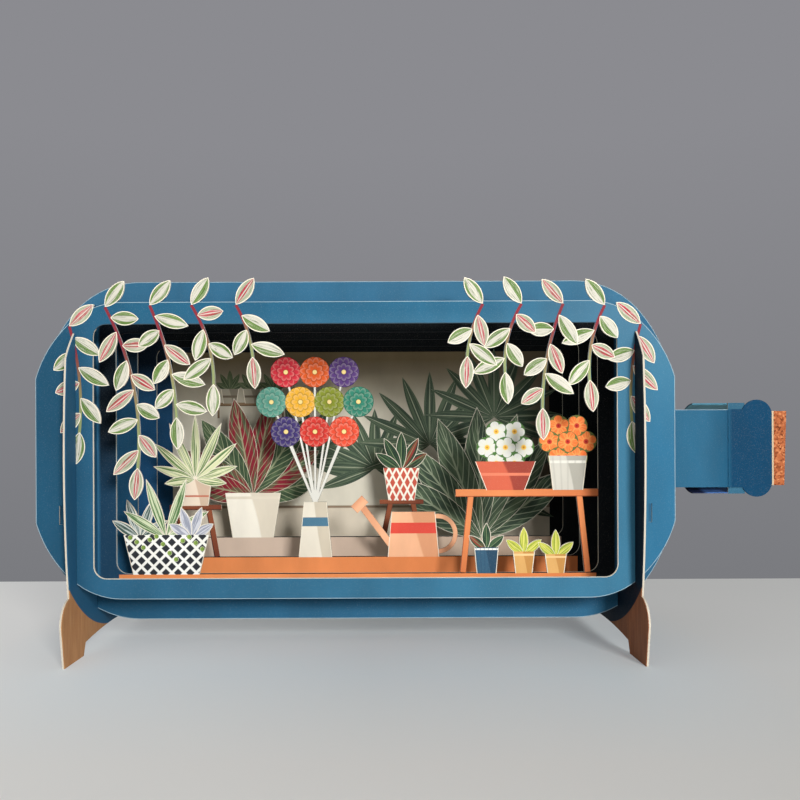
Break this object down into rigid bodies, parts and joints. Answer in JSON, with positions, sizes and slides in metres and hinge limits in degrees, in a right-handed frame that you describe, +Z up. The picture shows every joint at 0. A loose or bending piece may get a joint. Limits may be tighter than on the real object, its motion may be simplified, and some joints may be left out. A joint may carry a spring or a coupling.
{
  "type": "three-dimensional greeting card",
  "caption": "Bottle-shaped standing card: upright die-cut sheets slotted over cross supports with feet, windows framing a layered plant scene, a neck with lip and cork.",
  "frame": {"origin": "on the ground, below the centre of the object's bounding box", "axes": "+X along the bottle towards its neck, +Y from the front sheet to the back sheet, +Z up"},
  "size_m": [0.2794, 0.1054, 0.1345],
  "materials": {
    "printed_card": "matt printed card",
    "support_board": "matt printed board",
    "cork_card": "matt board printed like cork"
  },
  "bodies": {
    "root": {"front_frame": "printed_card", "second_frame": "printed_card", "middle_frame": "printed_card", "fourth_frame": "printed_card", "back_panel": "printed_card", "left_support": "support_board", "right_support": "support_board", "neck_lip": "printed_card", "cork": "cork_card", "neck_collar": "printed_card"}
  },
  "joints": []
}
